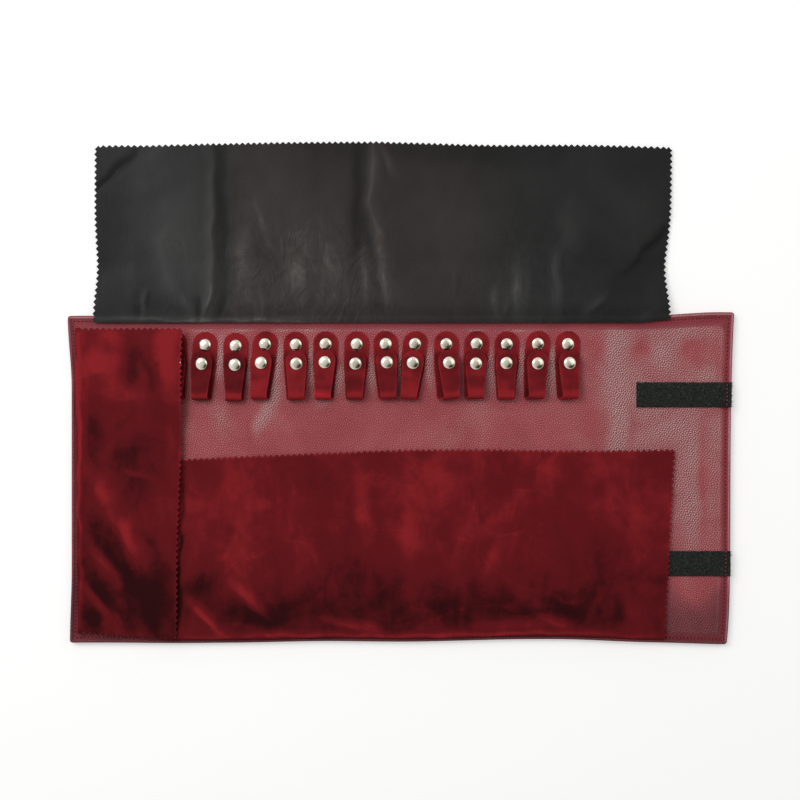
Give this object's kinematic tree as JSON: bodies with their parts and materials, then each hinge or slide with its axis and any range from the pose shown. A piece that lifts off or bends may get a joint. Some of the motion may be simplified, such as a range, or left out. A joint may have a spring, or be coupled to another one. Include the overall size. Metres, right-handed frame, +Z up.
{
  "type": "jewelry roll",
  "caption": "Padded roll-up jewelry case lying open, with a row of snap straps for chains, pinked velvet flaps that fold over the lining and hook-and-loop tapes that close the roll.",
  "frame": {"origin": "centre of the open roll's box, at the bottom, on the table", "axes": "+X along the panel towards the end with the loop tapes, +Y towards the open top flap, +Z up"},
  "size_m": [0.53, 0.398, 0.0146],
  "materials": {
    "leather": "pebbled burgundy imitation leather, satin",
    "foam": "matt felt padding",
    "velvet": "dark red velvet with a crushed nap",
    "satin": "black satin backing of the velvet",
    "tape": "black fuzzy loop and hook tape",
    "nickel": "polished nickel caps"
  },
  "bodies": {
    "panel_1": {"outer_cover_1": "leather", "padding_1": "foam", "lining_1": "leather", "strap_back_01": "velvet", "strap_front_01": "velvet", "hook_tape_upper": "tape", "hook_tape_lower": "tape"},
    "panel_2": {"outer_cover_2": "leather", "padding_2": "foam", "lining_2": "leather", "strap_back_02": "velvet", "strap_back_03": "velvet", "strap_back_04": "velvet", "strap_back_05": "velvet"},
    "panel_3": {"outer_cover_3": "leather", "padding_3": "foam", "lining_3": "leather", "strap_back_06": "velvet", "strap_back_07": "velvet", "strap_back_08": "velvet", "strap_back_09": "velvet", "strap_back_10": "velvet"},
    "panel_4": {"outer_cover_4": "leather", "padding_4": "foam", "lining_4": "leather", "strap_back_11": "velvet", "strap_back_12": "velvet", "strap_back_13": "velvet", "strap_back_14": "velvet"},
    "panel_5": {"outer_cover_5": "leather", "padding_5": "foam", "lining_5": "leather", "loop_tape_upper": "tape", "loop_tape_lower": "tape"},
    "top_flap_1": {"top_flap_1": "satin"},
    "top_flap_2": {"top_flap_2": "satin"},
    "top_flap_3": {"top_flap_3": "satin"},
    "top_flap_4": {"top_flap_4": "satin"},
    "top_flap_5": {"top_flap_5": "satin"},
    "bottom_flap_2": {"bottom_flap_2": "velvet"},
    "bottom_flap_3": {"bottom_flap_3": "velvet"},
    "bottom_flap_4": {"bottom_flap_4": "velvet"},
    "bottom_flap_5": {"bottom_flap_5": "velvet"},
    "left_flap": {"left_flap": "velvet"},
    "strap_leaf_02": {"strap_front_02": "velvet"},
    "strap_leaf_03": {"strap_front_03": "velvet"},
    "strap_leaf_04": {"strap_front_04": "velvet"},
    "strap_leaf_05": {"strap_front_05": "velvet"},
    "strap_leaf_06": {"strap_front_06": "velvet"},
    "strap_leaf_07": {"strap_front_07": "velvet"},
    "strap_leaf_08": {"strap_front_08": "velvet"},
    "strap_leaf_09": {"strap_front_09": "velvet"},
    "strap_leaf_10": {"strap_front_10": "velvet"},
    "strap_leaf_11": {"strap_front_11": "velvet"},
    "strap_leaf_12": {"strap_front_12": "velvet"},
    "strap_leaf_13": {"strap_front_13": "velvet"},
    "strap_leaf_14": {"strap_front_14": "velvet"}
  },
  "joints": [
    {"name": "roll_up", "type": "hinge", "parent": "panel_3", "child": "panel_2", "pos_m": [-0.0738, -0.068, 0.011], "axis": [0, -1, 0], "range_deg": [-90, 0]},
    {"name": "roll_up_first", "type": "hinge", "parent": "panel_2", "child": "panel_1", "pos_m": [-0.1714, -0.068, 0.011], "axis": [0, -1, 0], "range_deg": [-90, 0]},
    {"name": "roll_up_fourth", "type": "hinge", "parent": "panel_3", "child": "panel_4", "pos_m": [0.0482, -0.068, 0.011], "axis": [0, 1, 0], "range_deg": [-90, 0]},
    {"name": "end_close", "type": "hinge", "parent": "panel_4", "child": "panel_5", "pos_m": [0.1537, -0.068, 0.011], "axis": [0, 1, 0], "range_deg": [-90, 0]},
    {"name": "top_flap_turn", "type": "hinge", "parent": "panel_3", "child": "top_flap_3", "pos_m": [-0.0128, 0.0574, 0.011], "axis": [1, 0, 0], "range_deg": [0, 180]},
    {"name": "top_flap_turn_1", "type": "hinge", "parent": "panel_1", "child": "top_flap_1", "pos_m": [-0.2079, 0.0574, 0.011], "axis": [1, 0, 0], "range_deg": [0, 180]},
    {"name": "top_flap_turn_2", "type": "hinge", "parent": "panel_2", "child": "top_flap_2", "pos_m": [-0.1226, 0.0574, 0.011], "axis": [1, 0, 0], "range_deg": [0, 180]},
    {"name": "top_flap_turn_4", "type": "hinge", "parent": "panel_4", "child": "top_flap_4", "pos_m": [0.10095, 0.0574, 0.011], "axis": [1, 0, 0], "range_deg": [0, 180]},
    {"name": "top_flap_turn_5", "type": "hinge", "parent": "panel_5", "child": "top_flap_5", "pos_m": [0.18565, 0.0574, 0.011], "axis": [1, 0, 0], "range_deg": [0, 180]},
    {"name": "bottom_flap_turn", "type": "hinge", "parent": "panel_3", "child": "bottom_flap_3", "pos_m": [-0.0128, -0.193, 0.0075], "axis": [1, 0, 0], "range_deg": [0, 180]},
    {"name": "bottom_flap_turn_2", "type": "hinge", "parent": "panel_2", "child": "bottom_flap_2", "pos_m": [-0.1226, -0.193, 0.0075], "axis": [1, 0, 0], "range_deg": [0, 180]},
    {"name": "bottom_flap_turn_4", "type": "hinge", "parent": "panel_4", "child": "bottom_flap_4", "pos_m": [0.10095, -0.193, 0.0075], "axis": [1, 0, 0], "range_deg": [0, 180]},
    {"name": "bottom_flap_turn_5", "type": "hinge", "parent": "panel_5", "child": "bottom_flap_5", "pos_m": [0.18565, -0.193, 0.0075], "axis": [1, 0, 0], "range_deg": [0, 180]},
    {"name": "left_flap_turn", "type": "hinge", "parent": "panel_1", "child": "left_flap", "pos_m": [-0.26, -0.068, 0.0075], "axis": [0, -1, 0], "range_deg": [0, 180]},
    {"name": "strap_open_02", "type": "hinge", "parent": "panel_2", "child": "strap_leaf_02", "pos_m": [-0.1592, 0, 0.0097], "axis": [1, 0, 0], "range_deg": [0, 180]},
    {"name": "strap_open_03", "type": "hinge", "parent": "panel_2", "child": "strap_leaf_03", "pos_m": [-0.1348, 0, 0.0097], "axis": [1, 0, 0], "range_deg": [0, 180]},
    {"name": "strap_open_04", "type": "hinge", "parent": "panel_2", "child": "strap_leaf_04", "pos_m": [-0.1104, 0, 0.0097], "axis": [1, 0, 0], "range_deg": [0, 180]},
    {"name": "strap_open_05", "type": "hinge", "parent": "panel_2", "child": "strap_leaf_05", "pos_m": [-0.086, 0, 0.0097], "axis": [1, 0, 0], "range_deg": [0, 180]},
    {"name": "strap_open_06", "type": "hinge", "parent": "panel_3", "child": "strap_leaf_06", "pos_m": [-0.0616, 0, 0.0097], "axis": [1, 0, 0], "range_deg": [0, 180]},
    {"name": "strap_open_07", "type": "hinge", "parent": "panel_3", "child": "strap_leaf_07", "pos_m": [-0.0372, 0, 0.0097], "axis": [1, 0, 0], "range_deg": [0, 180]},
    {"name": "strap_open_08", "type": "hinge", "parent": "panel_3", "child": "strap_leaf_08", "pos_m": [-0.0128, 0, 0.0097], "axis": [1, 0, 0], "range_deg": [0, 180]},
    {"name": "strap_open_09", "type": "hinge", "parent": "panel_3", "child": "strap_leaf_09", "pos_m": [0.0116, 0, 0.0097], "axis": [1, 0, 0], "range_deg": [0, 180]},
    {"name": "strap_open_10", "type": "hinge", "parent": "panel_3", "child": "strap_leaf_10", "pos_m": [0.036, 0, 0.0097], "axis": [1, 0, 0], "range_deg": [0, 180]},
    {"name": "strap_open_11", "type": "hinge", "parent": "panel_4", "child": "strap_leaf_11", "pos_m": [0.0604, 0, 0.0097], "axis": [1, 0, 0], "range_deg": [0, 180]},
    {"name": "strap_open_12", "type": "hinge", "parent": "panel_4", "child": "strap_leaf_12", "pos_m": [0.0848, 0, 0.0097], "axis": [1, 0, 0], "range_deg": [0, 180]},
    {"name": "strap_open_13", "type": "hinge", "parent": "panel_4", "child": "strap_leaf_13", "pos_m": [0.1092, 0, 0.0097], "axis": [1, 0, 0], "range_deg": [0, 180]},
    {"name": "strap_open_14", "type": "hinge", "parent": "panel_4", "child": "strap_leaf_14", "pos_m": [0.1336, 0, 0.0097], "axis": [1, 0, 0], "range_deg": [0, 180]}
  ],
  "couplings": [
    {"joint": "roll_up_first", "follows": "roll_up", "ratio": 1},
    {"joint": "roll_up_fourth", "follows": "roll_up", "ratio": 1},
    {"joint": "top_flap_turn_1", "follows": "top_flap_turn", "ratio": 1},
    {"joint": "top_flap_turn_2", "follows": "top_flap_turn", "ratio": 1},
    {"joint": "top_flap_turn_4", "follows": "top_flap_turn", "ratio": 1},
    {"joint": "top_flap_turn_5", "follows": "top_flap_turn", "ratio": 1},
    {"joint": "bottom_flap_turn_2", "follows": "bottom_flap_turn", "ratio": 1},
    {"joint": "bottom_flap_turn_4", "follows": "bottom_flap_turn", "ratio": 1},
    {"joint": "bottom_flap_turn_5", "follows": "bottom_flap_turn", "ratio": 1}
  ]
}
